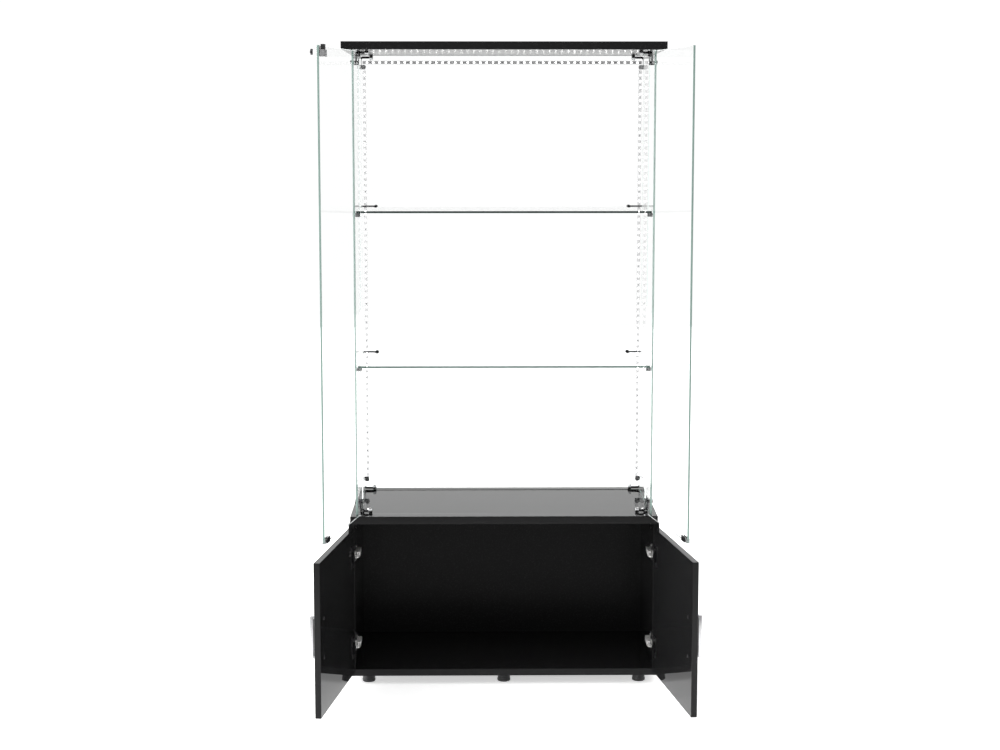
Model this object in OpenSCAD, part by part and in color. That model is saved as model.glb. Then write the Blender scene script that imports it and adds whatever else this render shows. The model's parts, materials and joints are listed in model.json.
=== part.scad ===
// China cabinet: a glass showcase with two glass doors, standing on a cupboard with two solid doors.
// Origin: on the floor, under the middle of the cabinet's footprint with its doors open.
// +X is the cabinet's right as one faces it, +Y its back, +Z up. Both pairs of doors stand open at rest.

/* [Overall] */
// Width of the top panel
top_w = 805; // [780:1:900]
// Depth of the top panel and of the cupboard, from front to back
depth = 400; // [380:1:450]
// Height from the floor to the upper face of the top panel
height = 1635; // [1400:1:1800]

/* [Cupboard] */
// Height of the cupboard's upper face, on which the glass stands
slab_top = 445; // [400:1:520]
// Width of the board that closes the cupboard at the top
slab_w = 786; // [776:1:790]
// Width over the cupboard's two side panels
carcass_w = 794; // [790:1:800]
// Thickness of the top panel and of the board that closes the cupboard
slab_t = 20; // [18:1:25]
// Thickness of the side panels and of the cupboard doors
board_t = 15; // [15:1:16]
// Thickness of the bottom panel
bottom_t = 18; // [16:1:20]
// Thickness of the back panel
back_t = 3; // [3:0.5:4]
// How far the cupboard's front edges stand back from the top board's front
carcass_setback = 20; // [20:0.5:22]
// Gap left above the cupboard doors
door_top_gap = 14; // [10:1:20]
// Gap left between the bottom panel's underside and the cupboard doors' lower edge
door_bottom_gap = 12; // [6:1:16]
// Height of the feet
foot_h = 23; // [18:1:30]
// Diameter of a foot at its base
foot_d = 34; // [26:1:44]

/* [Showcase] */
// Thickness of the upright glass
glass_t = 5; // [5:0.5:6]
// Thickness of a glass shelf
shelf_t = 5; // [5:0.5:6]
// Distance from the middle of the cabinet to the outer face of a side glass
glass_half = 379; // [370:1:382]
// Distance from the front of the top panel to the front edge of the side glass
glass_front = 16; // [14:1:20]
// Distance from the front of the top panel to the outer face of the back glass
glass_back_y = 363; // [350:1:370]
// Height of the upper shelf's upper face
shelf_upper_z = 1217; // [1100:1:1300]
// Height of the lower shelf's upper face
shelf_lower_z = 826; // [700:1:900]

/* [Doors] */
// How far the glass doors stand open at rest, in degrees
glass_open = 101; // [90:1:110]
// How far the cupboard doors stand open at rest, in degrees
cupboard_open = 98; // [90:1:105]
// Length of a cupboard door's handle
handle_len = 103; // [96:1:128]
// How far a handle stands out from its door
handle_out = 18; // [16:1:26]

/* [Hidden] */
$fn = 48;
BLACK = "#1b1b1c";
GLASS = "#cfe6e0";
STEEL = "#a7a9ab";
CLEAR = "#e4efec";

// The cupboard's levels and its half width
top_under = height - slab_t;
slab_under = slab_top - slab_t;
half = carcass_w / 2;
side_in = half - board_t;

// Cupboard door in its closed place, and the upright line that it swings about
face_gap = 3;
door_in_y = carcass_setback - face_gap;
door_out_y = door_in_y - board_t;
door_edge = half - 1;
door_z0 = foot_h + door_bottom_gap;
door_z1 = slab_under - door_top_gap;
axis_x = half - 6.5;
axis_y = carcass_setback - 9.7;
hinge_inset = 70;
hinge_z = [door_z0 + hinge_inset, door_z1 - hinge_inset];
cup_x = half - 22.5;
cup_r = 17.5;
cup_depth = 11.5;
arm_x = half - 22;
arm_y = carcass_setback + 4;

// Glass box and the glass doors' pivots
glass_in = glass_half - glass_t;
back_in_y = glass_back_y - glass_t;
pivot_x = glass_in - 12;
pivot_y = glass_front + glass_t / 2;
gdoor_edge = pivot_x + 5;
gdoor_z0 = slab_top + 4;
gdoor_z1 = top_under - 4;
meet_gap = 1.5;
shoe_w = 14;
shoe_h = 14;
shoe_wall = 2.5;
pin_r = 2.5;

// The front-most corner of an open cupboard door sets where the footprint's middle lies
reach_x = axis_x - meet_gap;
reach_y = door_in_y - axis_y;
front_y = axis_y - reach_x * sin(cupboard_open) + reach_y * cos(cupboard_open);
origin_y = -(depth + front_y) / 2;

// Corner connectors
rod_r = 3;
leg = 33;
front_rod_y = 48;
front_rod_x = glass_in - 4;
back_rod_x = glass_half - 2.5;
back_rod_y = glass_back_y + 6.5;
clamp_lift = 31;
stud_r = 2.5;
hole_r = 3.5;
screw_r = 1.75;
screw_len = 14;

// Lock on the left glass door
lock_x = 16;
lock_z = gdoor_z1 - 15;
case_out = 10;
barrel_out = 19;
plug_r = 5.5;
fit = 0.05;
crank_r = 4.25;
crank_rest = -45;
bolt_w = 14;
bolt_y0 = glass_front + glass_t + 2;
bolt_t = 8;
bolt_z1 = gdoor_z1 + 2.5;
bolt_z0 = lock_z - 8;

// Moves the cabinet's front-referred coordinates to the origin
module placed() {
    translate([0, origin_y, 0]) children();
}

// Draws the right-hand piece, or its mirror image on the left
module sided(side) {
    mirror([side < 0 ? 1 : 0, 0, 0]) children();
}

// Right-hand glass door parts, drawn closed, swung open
module glass_swung(side) {
    placed() sided(side)
        translate([pivot_x, pivot_y, 0]) rotate([0, 0, glass_open]) translate([-pivot_x, -pivot_y, 0])
            children();
}

// Right-hand cupboard door parts, drawn closed, swung open
module cupboard_swung(side) {
    placed() sided(side)
        translate([axis_x, axis_y, 0]) rotate([0, 0, cupboard_open]) translate([-axis_x, -axis_y, 0])
            children();
}

// Box from its lowest corner to its highest
module span(low, high) {
    translate(low) cube(high - low);
}

// Cylinder along X, from x0 to x1
module rod_x(x0, x1, y, z, r) {
    translate([x0, y, z]) rotate([0, 90, 0]) cylinder(h = x1 - x0, r = r);
}

// Cylinder along Y, from y0 to y1
module rod_y(y0, y1, x, z, r) {
    translate([x, y1, z]) rotate([90, 0, 0]) cylinder(h = y1 - y0, r = r);
}

// Cylinder along Z, from z0 to z1
module rod_z(z0, z1, x, y, r) {
    translate([x, y, z0]) cylinder(h = z1 - z0, r = r);
}

// ---- Boards ----

cam_y = [carcass_setback + 70, depth - 80];
cam_r = 7.5;
cam_t = 12;
cam_in = 26;
dowel_y = [carcass_setback + 102, depth - 112];
dowel_r = 3;
dowel_len = 30;
bolt_shaft_r = 3;
bottom_z1 = foot_h + bottom_t;
bottom_mid_z = foot_h + bottom_t / 2;
joint_x = side_in + 4.5;
groove = 6;
back_y0 = depth - 12;

// Panel screws under the horizontal end of each connector
function connector_x(back) = (back ? back_rod_x : front_rod_x) - leg;
function connector_y(back) = back ? back_rod_y : front_rod_y;

module connector_holes(z0, z1) {
    for (side = [-1, 1], back = [false, true])
        rod_z(z0, z1, side * (connector_x(back) + 6), connector_y(back), screw_r);
}

module top_panel() {
    color(BLACK) placed() difference() {
        span([-top_w / 2, 0, top_under], [top_w / 2, depth, height]);
        connector_holes(top_under - 1, top_under + screw_len - 2);
        for (side = [-1, 1])
            rod_z(top_under - 1, top_under + 10, side * pivot_x, pivot_y, 4);
        span([-lock_x - bolt_w / 2 - 1, bolt_y0 - 1, top_under - 1],
             [-lock_x + bolt_w / 2 + 1, bolt_y0 + bolt_t + 1, top_under + 9]);
    }
}

module cabinet_top() {
    color(BLACK) placed() difference() {
        span([-slab_w / 2, 0, slab_under], [slab_w / 2, depth, slab_top]);
        connector_holes(slab_top - screw_len + 2, slab_top + 1);
        for (side = [-1, 1]) {
            rod_z(slab_top - 10, slab_top + 1, side * pivot_x, pivot_y, 4);
            rod_z(slab_under - 1, slab_top - 2, side * (meet_gap + 24), pivot_y + 4, 5);
            for (y = cam_y)
                rod_z(slab_under - 1, slab_under + 12, side * joint_x, y, bolt_shaft_r);
            for (y = dowel_y)
                rod_z(slab_under - 1, slab_under + dowel_len / 2, side * joint_x, y, dowel_r);
        }
    }
}

module side_panel(side) {
    color(BLACK) placed() sided(side) difference() {
        span([side_in, carcass_setback, foot_h], [half, depth, slab_under]);
        span([side_in - 1, back_y0, bottom_z1 - groove],
             [side_in + groove, back_y0 + back_t, slab_under + 1]);
        for (y = cam_y) {
            rod_x(side_in - 1, side_in + cam_t, y, slab_under - cam_in, cam_r);
            rod_z(slab_under - cam_in, slab_under + 1, joint_x, y, bolt_shaft_r + 0.5);
            rod_x(side_in - 1, side_in + 11, y, bottom_mid_z, bolt_shaft_r);
        }
        for (y = dowel_y) {
            rod_z(slab_under - dowel_len / 2, slab_under + 1, joint_x, y, dowel_r);
            rod_x(side_in - 1, side_in + dowel_len / 3, y, bottom_mid_z, dowel_r);
        }
        for (z = hinge_z, dz = [-16, 16])
            rod_x(side_in - 1, side_in + 11, arm_y + 34, z + dz, screw_r);
    }
}

module side_panel_left() {
    side_panel(-1);
}

module side_panel_right() {
    side_panel(1);
}

module bottom_panel() {
    color(BLACK) placed() difference() {
        span([-side_in, carcass_setback, foot_h], [side_in, depth, bottom_z1]);
        span([-side_in - 1, back_y0, bottom_z1 - groove], [side_in + 1, back_y0 + back_t, bottom_z1 + 1]);
        for (side = [-1, 1]) sided(side) {
            for (y = cam_y) {
                rod_z(foot_h - 1, foot_h + cam_t, side_in - cam_in, y, cam_r);
                rod_x(side_in - cam_in, side_in + 1, y, bottom_mid_z, bolt_shaft_r + 0.5);
            }
            for (y = dowel_y)
                rod_x(side_in - dowel_len * 2 / 3, side_in + 1, y, bottom_mid_z, dowel_r);
        }
        for (x = foot_x, y = foot_y)
            rod_z(foot_h - 1, foot_h + 11, x, y, 3);
    }
}

module back_panel() {
    color(BLACK) placed()
        span([-side_in - groove + 0.5, back_y0 + 0.1, bottom_z1 - groove + 0.5],
             [side_in + groove - 0.5, back_y0 + back_t - 0.1, slab_under - 0.3]);
}

// ---- Feet: turned glides, each with a spigot in the bottom panel ----

foot_x = [-350, 0, 350];
foot_y = [carcass_setback + 36, depth - 50];

module feet(y) {
    color(BLACK) placed() for (x = foot_x) translate([x, y, 0]) rotate_extrude()
        polygon([
            [0, 0], [foot_d / 2 - 1.5, 0], [foot_d / 2, 1.5], [foot_d / 2 - 1, 7],
            [foot_d / 2 - 2.5, foot_h], [3 - fit, foot_h], [3 - fit, foot_h + 10], [0, foot_h + 10]
        ]);
}

module feet_front() {
    feet(foot_y[0]);
}

module feet_back() {
    feet(foot_y[1]);
}

// ---- Dowels, cams and cam bolts that hold the cupboard together ----

module dowels() {
    color("#c9a878") placed() for (side = [-1, 1], y = dowel_y) sided(side) {
        rod_z(slab_under - dowel_len / 2 + 0.5, slab_under + dowel_len / 2 - 0.5,
              joint_x, y, dowel_r - fit);
        rod_x(side_in - dowel_len * 2 / 3 + 0.5, side_in + dowel_len / 3 - 0.5,
              y, bottom_mid_z, dowel_r - fit);
    }
}

module cam_locks() {
    color(STEEL) placed() for (side = [-1, 1], y = cam_y) sided(side) {
        difference() {
            rod_x(side_in + 0.3, side_in + cam_t - 0.3, y, slab_under - cam_in, cam_r - fit);
            rod_z(slab_under - cam_in - 1, slab_under, joint_x, y, bolt_shaft_r + 0.5);
        }
        difference() {
            rod_z(foot_h + 0.3, foot_h + cam_t - 0.3, side_in - cam_in, y, cam_r - fit);
            rod_x(side_in - cam_in - 1, side_in, y, bottom_mid_z, bolt_shaft_r + 0.5);
        }
    }
}

module cam_bolts() {
    color(STEEL) placed() for (side = [-1, 1], y = cam_y) sided(side) {
        rod_z(slab_under - cam_in, slab_under + 11, joint_x, y, bolt_shaft_r - fit);
        rod_x(side_in - cam_in, side_in + 10, y, bottom_mid_z, bolt_shaft_r - fit);
    }
}

// ---- Glass box and shelves ----

shelf_z = [shelf_upper_z, shelf_lower_z];
shelf_y0 = glass_front + 14;
shelf_y1 = back_in_y - 9;
clip_y = 44;
clip_drop = 5;
clamp_z = [slab_top + clamp_lift, top_under - clamp_lift];
cap_x = back_rod_x - 9;
shelf_knob_x = glass_in - 36;

module glass_side(side) {
    color(GLASS, 0.4) placed() sided(side) difference() {
        span([glass_in, glass_front, slab_top], [glass_half, back_in_y - 0.5, top_under]);
        for (z = clamp_z)
            rod_x(glass_in - 1, glass_half + 1, front_rod_y, z, hole_r);
        for (z = shelf_z)
            rod_x(glass_in - 1, glass_half + 1, clip_y, z - shelf_t - clip_drop, hole_r);
    }
}

module glass_side_left() {
    glass_side(-1);
}

module glass_side_right() {
    glass_side(1);
}

module glass_back() {
    color(GLASS, 0.4) placed() difference() {
        span([-glass_half, back_in_y, slab_top], [glass_half, glass_back_y, top_under]);
        for (side = [-1, 1]) {
            for (z = clamp_z)
                rod_y(back_in_y - 1, glass_back_y + 1, side * cap_x, z, hole_r);
            for (z = shelf_z)
                rod_y(back_in_y - 1, glass_back_y + 1, side * shelf_knob_x, z - shelf_t / 2, hole_r);
        }
    }
}

module shelf(z) {
    color(GLASS, 0.4) placed()
        span([-glass_in + 1.5, shelf_y0, z - shelf_t], [glass_in - 1.5, shelf_y1, z]);
}

module shelf_upper() {
    shelf(shelf_upper_z);
}

module shelf_lower() {
    shelf(shelf_lower_z);
}

// ---- Corner connectors: bent rods that tie the glass to the boards ----

// Right-hand connector standing up from z = 0; its upright leg ends in a clamp barrel
module connector(back) {
    x = back ? back_rod_x : front_rod_x;
    y = connector_y(back);
    rise = rod_r + 2.5;
    end_x = x - leg;
    clamp_x0 = back ? x - 13 : glass_in - 12;
    clamp_x1 = back ? x + rod_r : glass_in;
    difference() {
        union() {
            rod_z(rise, clamp_lift, x, y, rod_r);
            translate([x, y, rise]) sphere(r = rod_r);
            rod_x(end_x + 3, x, y, rise, rod_r);
            rod_x(end_x, end_x + 9, y, rise + 0.5, 6);
            rod_x(clamp_x0, clamp_x1, y, clamp_lift, 5.5);
        }
        rod_z(-1, 20, end_x + 6, y, screw_r + 0.25);
        if (back) rod_y(y - 10, y + 10, cap_x, clamp_lift, stud_r + fit);
        if (!back) rod_x(clamp_x0 - 1, clamp_x1 + 1, y, clamp_lift, stud_r + fit);
    }
}

module connector_pair(back, at_top) {
    color(STEEL) placed() for (side = [-1, 1]) sided(side)
        translate([0, 0, at_top ? top_under : slab_top]) mirror([0, 0, at_top ? 1 : 0]) connector(back);
}

module connectors_top_front() {
    connector_pair(false, true);
}

module connectors_top_back() {
    connector_pair(true, true);
}

module connectors_bottom_front() {
    connector_pair(false, false);
}

module connectors_bottom_back() {
    connector_pair(true, false);
}

// Clamp studs through the glass, each with its pad or cap on the far side
module connector_pads() {
    color(STEEL) placed() for (side = [-1, 1]) sided(side) {
        for (z = clamp_z) {
            rod_x(glass_in - 11, glass_half, front_rod_y, z, stud_r);
            rod_x(glass_half, glass_half + 5, front_rod_y, z, 6);
            rod_y(back_in_y, back_rod_y + 5, cap_x, z, stud_r);
            rod_y(back_in_y - 5, back_in_y, cap_x, z, 6);
        }
        for (z = shelf_z) {
            rod_x(glass_in - 8, glass_half, clip_y, z - shelf_t - clip_drop, stud_r);
            rod_x(glass_half, glass_half + 2.5, clip_y, z - shelf_t - clip_drop, 5);
            rod_y(back_in_y - 3, glass_back_y, shelf_knob_x, z - shelf_t / 2, stud_r);
            rod_y(glass_back_y, glass_back_y + 2.5, shelf_knob_x, z - shelf_t / 2, 6);
        }
    }
}

// Screws through the connectors' level ends into the boards
module connector_screws() {
    color(STEEL) placed() for (side = [-1, 1], back = [false, true]) sided(side) {
        x = connector_x(back) + 6;
        y = connector_y(back);
        rod_z(slab_top - screw_len + 3, slab_top + 12, x, y, screw_r - fit);
        rod_z(slab_top + 12, slab_top + 13.5, x, y, 3.2);
        rod_z(top_under - 12, top_under + screw_len - 3, x, y, screw_r - fit);
        rod_z(top_under - 13.5, top_under - 12, x, y, 3.2);
    }
}

// ---- Shelf supports ----

// Rear support: a flat-sided rod along the back glass, with a slotted knob that grips the shelf's back edge
module shelf_rods(z) {
    mid = z - shelf_t / 2;
    color(STEEL) placed() for (side = [-1, 1]) sided(side) difference() {
        union() {
            hull() for (dz = [-1.5, 1.5])
                rod_x(shelf_knob_x, glass_in - 0.5, back_in_y - 5, mid + dz, rod_r);
            rod_x(glass_in - 3, glass_in, back_in_y - 5, mid, 3.8);
            rod_y(back_in_y - 15, back_in_y, shelf_knob_x, mid, 6);
        }
        span([shelf_knob_x - 10, back_in_y - 20, z - shelf_t - fit],
             [shelf_knob_x + 10, shelf_y1 + fit, z + fit]);
        rod_y(back_in_y - 3 - fit, back_in_y + 1, shelf_knob_x, mid, stud_r + fit);
    }
}

module shelf_rods_upper() {
    shelf_rods(shelf_upper_z);
}

module shelf_rods_lower() {
    shelf_rods(shelf_lower_z);
}

// Front support: a short block under the shelf, clamped through the side glass
module shelf_clips() {
    color(STEEL) placed() for (side = [-1, 1], z = shelf_z) sided(side) difference() {
        under = z - shelf_t;
        union() {
            rod_x(glass_in - 9, glass_in, clip_y, under - clip_drop, 5);
            span([glass_in - 12, clip_y - 7, under - 3], [glass_in, clip_y + 7, under]);
        }
        rod_x(glass_in - 8 - fit, glass_in + 1, clip_y, under - clip_drop, stud_r + fit);
    }
}

// ---- Glass door pivots ----

bush_flange = 1.5;

module pivot_bush() {
    difference() {
        union() {
            rod_z(-9.5, 0, pivot_x, pivot_y, 4 - fit);
            rod_z(0, bush_flange, pivot_x, pivot_y, 6);
        }
        rod_z(-8, bush_flange + 1, pivot_x, pivot_y, pin_r + fit);
    }
}

module pivot_bushes_top() {
    color(STEEL) placed() for (side = [-1, 1]) sided(side)
        translate([0, 0, top_under]) mirror([0, 0, 1]) pivot_bush();
}

module pivot_bushes_bottom() {
    color(STEEL) placed() for (side = [-1, 1]) sided(side)
        translate([0, 0, slab_top]) pivot_bush();
}

// ---- Light strips on the inner face of the back glass ----

led_w = 8;
led_t = 1.6;
led_x = 366;
led_z1 = top_under - 19;

module led_strip_top() {
    color("#f4f4f2") placed()
        span([-led_x - led_w / 2, back_in_y - led_t, led_z1 - led_w / 2],
             [led_x + led_w / 2, back_in_y, led_z1 + led_w / 2]);
}

module led_strip(side) {
    color("#f4f4f2") placed() sided(side)
        span([led_x - led_w / 2, back_in_y - led_t, clamp_z[0] + 7],
             [led_x + led_w / 2, back_in_y, clamp_z[1] - 7]);
}

module led_strip_left() {
    led_strip(-1);
}

module led_strip_right() {
    led_strip(1);
}

// ---- Glass doors, each on two pivot shoes ----

clip_x0 = meet_gap + 10;
clip_x1 = meet_gap + 38;
clip_h = 12;
guard_w = 8.5;

module glass_door(side) {
    color(GLASS, 0.4) glass_swung(side) difference() {
        span([meet_gap, glass_front, gdoor_z0], [gdoor_edge, glass_front + glass_t, gdoor_z1]);
        if (side < 0)
            rod_y(glass_front - 1, glass_front + glass_t + 1, lock_x, lock_z, 7);
        for (z = [gdoor_z0 + 7, gdoor_z1 - 7])
            rod_y(glass_front - 1, glass_front + glass_t + 1, pivot_x - 2, z, 2.5);
    }
}

module glass_door_left() {
    glass_door(-1);
}

module glass_door_right() {
    glass_door(1);
}

// Shoe for the door's lower corner, with its base at z = 0 and its pin pointing down
module pivot_shoe() {
    difference() {
        union() {
            span([pivot_x - shoe_w / 2, pivot_y - glass_t / 2 - shoe_wall, 0],
                 [pivot_x + shoe_w / 2, pivot_y + glass_t / 2 + shoe_wall, shoe_h]);
            rod_z(-9, 0, pivot_x, pivot_y, pin_r);
        }
        span([pivot_x - shoe_w, glass_front - fit, 2],
             [gdoor_edge + fit, glass_front + glass_t + fit, shoe_h + 1]);
        rod_y(pivot_y - 10, pivot_y + 10, pivot_x - 2, 9, screw_r + fit);
    }
}

module pivot_shoes(side) {
    color(STEEL) glass_swung(side) {
        translate([0, 0, gdoor_z0 - 2]) pivot_shoe();
        translate([0, 0, gdoor_z1 + 2]) mirror([0, 0, 1]) pivot_shoe();
    }
}

module pivot_shoes_left() {
    pivot_shoes(-1);
}

module pivot_shoes_right() {
    pivot_shoes(1);
}

module shoe_screws(side) {
    color(STEEL) glass_swung(side) for (z = [gdoor_z0 + 7, gdoor_z1 - 7]) {
        rod_y(glass_front - 3, glass_front + glass_t + 2.5, pivot_x - 2, z, screw_r);
        rod_y(glass_front - 4, glass_front - 2.5, pivot_x - 2, z, 3);
    }
}

module shoe_screws_left() {
    shoe_screws(-1);
}

module shoe_screws_right() {
    shoe_screws(1);
}

// Steel plate clipped over the door's lower edge, pulled in by the magnet below it
module strike_clip(side) {
    color(BLACK) glass_swung(side) difference() {
        span([clip_x0, glass_front - 1.2, gdoor_z0 - 1.5],
             [clip_x1, glass_front + glass_t + 3.5, gdoor_z0 + clip_h]);
        span([clip_x0 - 1, glass_front - fit, gdoor_z0],
             [clip_x1 + 1, glass_front + glass_t + fit, gdoor_z0 + 20]);
    }
}

module strike_clip_left() {
    strike_clip(-1);
}

module strike_clip_right() {
    strike_clip(1);
}

// Clear soft cap over the door's free lower corner
module corner_guard(side) {
    color(CLEAR, 0.6) glass_swung(side) difference() {
        span([meet_gap - 1.2, glass_front - 1.2, gdoor_z0 - 1.2],
             [meet_gap + guard_w, glass_front + glass_t + 1.2, gdoor_z0 + guard_w + 2]);
        span([meet_gap, glass_front - fit, gdoor_z0],
             [meet_gap + 20, glass_front + glass_t + fit, gdoor_z0 + 20]);
    }
}

module corner_guard_left() {
    corner_guard(-1);
}

module corner_guard_right() {
    corner_guard(1);
}

module catch_magnets() {
    color(STEEL) placed() for (side = [-1, 1])
        rod_z(slab_top - 12, slab_top - 2.2, side * (meet_gap + 24), pivot_y + 4, 5 - fit);
}

// ---- Lock: turning the cylinder lifts the bolt into the top panel ----

module lock_body() {
    color(STEEL) glass_swung(-1) difference() {
        union() {
            span([lock_x - 12, glass_front + glass_t, bolt_z0 - 3],
                 [lock_x + 12, bolt_y0 + bolt_t + 1.5, gdoor_z1 - 10]);
            rod_y(glass_front - barrel_out + 1, glass_front + glass_t, lock_x, lock_z, 6.9);
            span([lock_x - 12, glass_front - case_out, gdoor_z1 - 25],
                 [lock_x + 12, glass_front, gdoor_z1 - 0.5]);
        }
        rod_y(glass_front - barrel_out, bolt_y0 + 1, lock_x, lock_z, plug_r + fit);
        span([lock_x - bolt_w / 2 - 0.3, bolt_y0 - 0.3, bolt_z0 - 0.3],
             [lock_x + bolt_w / 2 + 0.3, bolt_y0 + bolt_t + 0.3, gdoor_z1 + 1]);
    }
}

module lock_cylinder() {
    color(STEEL) glass_swung(-1) {
        difference() {
            rod_y(glass_front - barrel_out, bolt_y0 - 0.5, lock_x, lock_z, plug_r);
            span([lock_x - 0.6, glass_front - barrel_out - 1, lock_z - 3.5],
                 [lock_x + 0.6, glass_front - barrel_out + 8, lock_z + 3.5]);
        }
        rod_y(bolt_y0 - 0.6, bolt_y0 + 4,
              lock_x + crank_r * cos(crank_rest), lock_z + crank_r * sin(crank_rest), 1.2);
    }
}

module lock_bolt() {
    slot_x = lock_x + crank_r * cos(crank_rest);
    slot_z = lock_z + crank_r * sin(crank_rest);
    color(BLACK) glass_swung(-1) difference() {
        span([lock_x - bolt_w / 2, bolt_y0, bolt_z0], [lock_x + bolt_w / 2, bolt_y0 + bolt_t, bolt_z1]);
        span([slot_x - 2, bolt_y0 - 1, slot_z - 1.8], [slot_x + 3.2, bolt_y0 + 5, slot_z + 1.8]);
    }
}

// ---- Cupboard doors ----

handle_x = meet_gap + 36;
handle_z = (door_z0 + door_z1) / 2;
handle_w = 10;
handle_t = 9;
post_dz = handle_len / 2 - 4;

module cupboard_door(side) {
    color(BLACK) cupboard_swung(side) difference() {
        span([meet_gap, door_out_y, door_z0], [door_edge, door_in_y, door_z1]);
        for (z = hinge_z) {
            rod_y(door_in_y - cup_depth - 0.2, door_in_y + 1, cup_x, z, cup_r);
            for (dz = [-22.5, 22.5])
                rod_y(door_in_y - 10, door_in_y + 1, cup_x - 4, z + dz, screw_r);
        }
        for (dz = [-post_dz, post_dz])
            rod_y(door_out_y - 1, door_in_y + 1, handle_x, handle_z + dz, 2.2);
    }
}

module cupboard_door_left() {
    cupboard_door(-1);
}

module cupboard_door_right() {
    cupboard_door(1);
}

// Bar handle on two posts, tapped for screws from inside the door
module handle(side) {
    color(STEEL) cupboard_swung(side) difference() {
        union() {
            span([handle_x - handle_w / 2, door_out_y - handle_out, handle_z - handle_len / 2],
                 [handle_x + handle_w / 2, door_out_y - handle_out + handle_t, handle_z + handle_len / 2]);
            for (dz = [-post_dz, post_dz])
                rod_y(door_out_y - handle_out + 2, door_out_y, handle_x, handle_z + dz, 3.8);
        }
        for (dz = [-post_dz, post_dz])
            rod_y(door_out_y - 9, door_out_y + 1, handle_x, handle_z + dz, 2 + fit);
    }
}

module handle_left() {
    handle(-1);
}

module handle_right() {
    handle(1);
}

module handle_screws(side) {
    color(STEEL) cupboard_swung(side) for (dz = [-post_dz, post_dz]) {
        rod_y(door_out_y - 8, door_in_y, handle_x, handle_z + dz, 2);
        rod_y(door_in_y, door_in_y + 2, handle_x, handle_z + dz, 4);
    }
}

module handle_screws_left() {
    handle_screws(-1);
}

module handle_screws_right() {
    handle_screws(1);
}

// ---- Concealed hinges: a cup in the door, a link, and an arm on the side panel ----

link_len = 17;
link_r = 3;
link_h = 9;
link_rest = 100;

// Cup with a flange plate that lies on the door's inner face
module hinge_cups(side) {
    color(STEEL) cupboard_swung(side) for (z = hinge_z) difference() {
        union() {
            rod_y(door_in_y - cup_depth, door_in_y, cup_x, z, cup_r - fit);
            rod_y(door_in_y, door_in_y + 1.2, cup_x, z, cup_r + 1);
            span([cup_x - 13, door_in_y, z - 27], [cup_x + 13, door_in_y + 1.2, z + 27]);
        }
        rod_y(door_in_y - cup_depth + 0.8, door_in_y + 2, cup_x, z, cup_r - 1);
        for (dz = [-22.5, 22.5])
            rod_y(door_in_y - 1, door_in_y + 2, cup_x - 4, z + dz, screw_r + 0.25);
    }
}

module hinge_cups_left() {
    hinge_cups(-1);
}

module hinge_cups_right() {
    hinge_cups(1);
}

module cup_screws(side) {
    color(STEEL) cupboard_swung(side) for (z = hinge_z, dz = [-22.5, 22.5]) {
        rod_y(door_in_y - 9.5, door_in_y + 1.2, cup_x - 4, z + dz, screw_r - fit);
        rod_y(door_in_y + 1.2, door_in_y + 2.4, cup_x - 4, z + dz, 3.2);
    }
}

module cup_screws_left() {
    cup_screws(-1);
}

module cup_screws_right() {
    cup_screws(1);
}

// Arm: a mounting plate on the side panel, a channel above it, and a fork that carries the link's pin
module hinge_arms(side) {
    color(STEEL) placed() sided(side) for (z = hinge_z) {
        difference() {
            union() {
                span([side_in - 2, arm_y + 24, z - 22], [side_in, arm_y + 44, z + 22]);
                span([side_in - 13, arm_y + 14, z - 6], [side_in, arm_y + 62, z + 6]);
            }
            for (dz = [-16, 16])
                rod_x(side_in - 3, side_in + 1, arm_y + 34, z + dz, screw_r + 0.25);
        }
        for (dz = [-7.5, 5])
            hull() {
                rod_z(z + dz, z + dz + 2.5, arm_x, arm_y, 3.4);
                span([side_in - 13, arm_y + 14, z + dz], [side_in - 2, arm_y + 20, z + dz + 2.5]);
            }
        rod_z(z - 7, z + 7, arm_x, arm_y, 1.5 - fit);
    }
}

module hinge_arms_left() {
    hinge_arms(-1);
}

module hinge_arms_right() {
    hinge_arms(1);
}

module hinge_arm_screws() {
    color(STEEL) placed() for (side = [-1, 1], z = hinge_z, dz = [-16, 16]) sided(side) {
        rod_x(side_in - 2, side_in + 10, arm_y + 34, z + dz, screw_r - fit);
        rod_x(side_in - 3.4, side_in - 2, arm_y + 34, z + dz, 3.2);
    }
}

// Link: a flat bar on the arm's pin; its outer end lies at the cup
module hinge_links(side) {
    color(STEEL) placed() sided(side) for (z = hinge_z)
        translate([arm_x, arm_y, z - link_h / 2]) rotate([0, 0, 180 + link_rest]) difference() {
            linear_extrude(link_h) union() {
                circle(r = link_r);
                translate([0, -1.2]) square([link_len, 2.4]);
                translate([link_len, 0]) circle(r = 2);
            }
            translate([0, 0, -1]) cylinder(h = link_h + 2, r = 1.5);
        }
}

module hinge_links_left() {
    hinge_links(-1);
}

module hinge_links_right() {
    hinge_links(1);
}

top_panel();
cabinet_top();
side_panel_left();
side_panel_right();
bottom_panel();
back_panel();
feet_front();
feet_back();
glass_side_left();
glass_side_right();
glass_back();
shelf_upper();
shelf_lower();
connectors_top_front();
connectors_top_back();
connectors_bottom_front();
connectors_bottom_back();
connector_pads();
connector_screws();
shelf_rods_upper();
shelf_rods_lower();
shelf_clips();
pivot_bushes_top();
pivot_bushes_bottom();
led_strip_top();
led_strip_left();
led_strip_right();
dowels();
cam_locks();
cam_bolts();
catch_magnets();
hinge_arms_left();
hinge_arms_right();
hinge_arm_screws();
hinge_links_left();
hinge_links_right();
glass_door_left();
pivot_shoes_left();
shoe_screws_left();
strike_clip_left();
corner_guard_left();
lock_body();
lock_cylinder();
lock_bolt();
glass_door_right();
pivot_shoes_right();
shoe_screws_right();
strike_clip_right();
corner_guard_right();
cupboard_door_left();
handle_left();
handle_screws_left();
hinge_cups_left();
cup_screws_left();
cupboard_door_right();
handle_right();
handle_screws_right();
hinge_cups_right();
cup_screws_right();
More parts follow.
